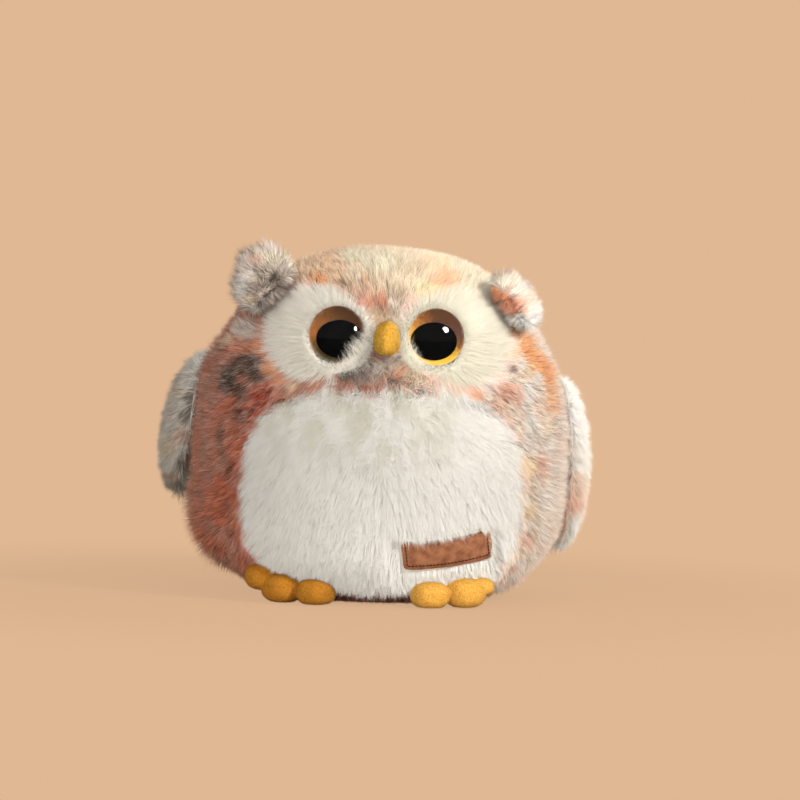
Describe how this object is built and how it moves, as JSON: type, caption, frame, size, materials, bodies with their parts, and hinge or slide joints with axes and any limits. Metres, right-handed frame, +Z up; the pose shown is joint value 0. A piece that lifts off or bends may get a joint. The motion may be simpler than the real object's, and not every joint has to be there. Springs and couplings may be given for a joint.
{
  "type": "plush owl",
  "caption": "Ball-shaped plush owl sewn from fur panels round one stuffing, with hinged wings and ear tufts, stuffed feet and beak, domed safety eyes and a leather label.",
  "frame": {"origin": "middle of the flat base that the owl rests on, on the surface under it", "axes": "+Z up, the owl faces -Y, and +X is at the right of a picture of its face"},
  "size_m": [0.1974, 0.1581, 0.159],
  "materials": {
    "cream_fur": "matte",
    "salmon_fur": "matte",
    "pink_fur": "matte",
    "dark_fur": "matte",
    "white_fur": "matte",
    "maroon_fur": "matte",
    "grey_fur": "matte",
    "gold_plush": "matte",
    "filling": "matte",
    "leather": "satin",
    "thread": "matte",
    "amber": "gloss",
    "black_gloss": "gloss",
    "clear": "gloss",
    "washer_white": "satin"
  },
  "bodies": {
    "body": {"crown_panel": "cream_fur", "left_side_panel": "salmon_fur", "right_side_panel": "salmon_fur", "left_back_panel": "pink_fur", "right_back_panel": "pink_fur", "chin_panel": "dark_fur", "left_face_disc": "white_fur", "right_face_disc": "white_fur", "belly_panel": "white_fur", "base_panel": "maroon_fur", "stuffing": "filling", "left_foot": "gold_plush", "right_foot": "gold_plush", "beak": "gold_plush", "patch": "leather", "patch_stitching": "thread", "left_iris": "amber", "right_iris": "amber", "left_pupil": "black_gloss", "right_pupil": "black_gloss", "left_lens": "clear", "right_lens": "clear", "left_eye_washer": "washer_white", "right_eye_washer": "washer_white"},
    "left_wing": {"left_wing_outer": "grey_fur", "left_wing_lining": "pink_fur", "left_wing_stuffing": "filling"},
    "right_wing": {"right_wing_outer": "grey_fur", "right_wing_lining": "pink_fur", "right_wing_stuffing": "filling"},
    "left_ear": {"left_ear_front": "grey_fur", "left_ear_back": "grey_fur"},
    "right_ear": {"right_ear_front": "grey_fur", "right_ear_back": "grey_fur"}
  },
  "joints": [
    {"name": "left_wing_lift", "type": "hinge", "parent": "body", "child": "left_wing", "pos_m": [-0.07814, 0.01138, 0.101], "axis": [0.1291, 0.7319, 0.6691], "range_deg": [0, 70]},
    {"name": "right_wing_lift", "type": "hinge", "parent": "body", "child": "right_wing", "pos_m": [0.07814, 0.01138, 0.101], "axis": [0.1727, -0.9794, -0.1045], "range_deg": [0, 70]},
    {"name": "left_ear_fold", "type": "hinge", "parent": "body", "child": "left_ear", "pos_m": [-0.05205, -0.04917, 0.1393], "axis": [0.6858, 0, 0.7278], "range_deg": [-45, 30], "stiffness_Nm_per_rad": 0.01},
    {"name": "right_ear_fold", "type": "hinge", "parent": "body", "child": "right_ear", "pos_m": [0.05421, -0.04891, 0.13712], "axis": [0.6507, 0, -0.7593], "range_deg": [0, 75], "stiffness_Nm_per_rad": 0.01}
  ]
}
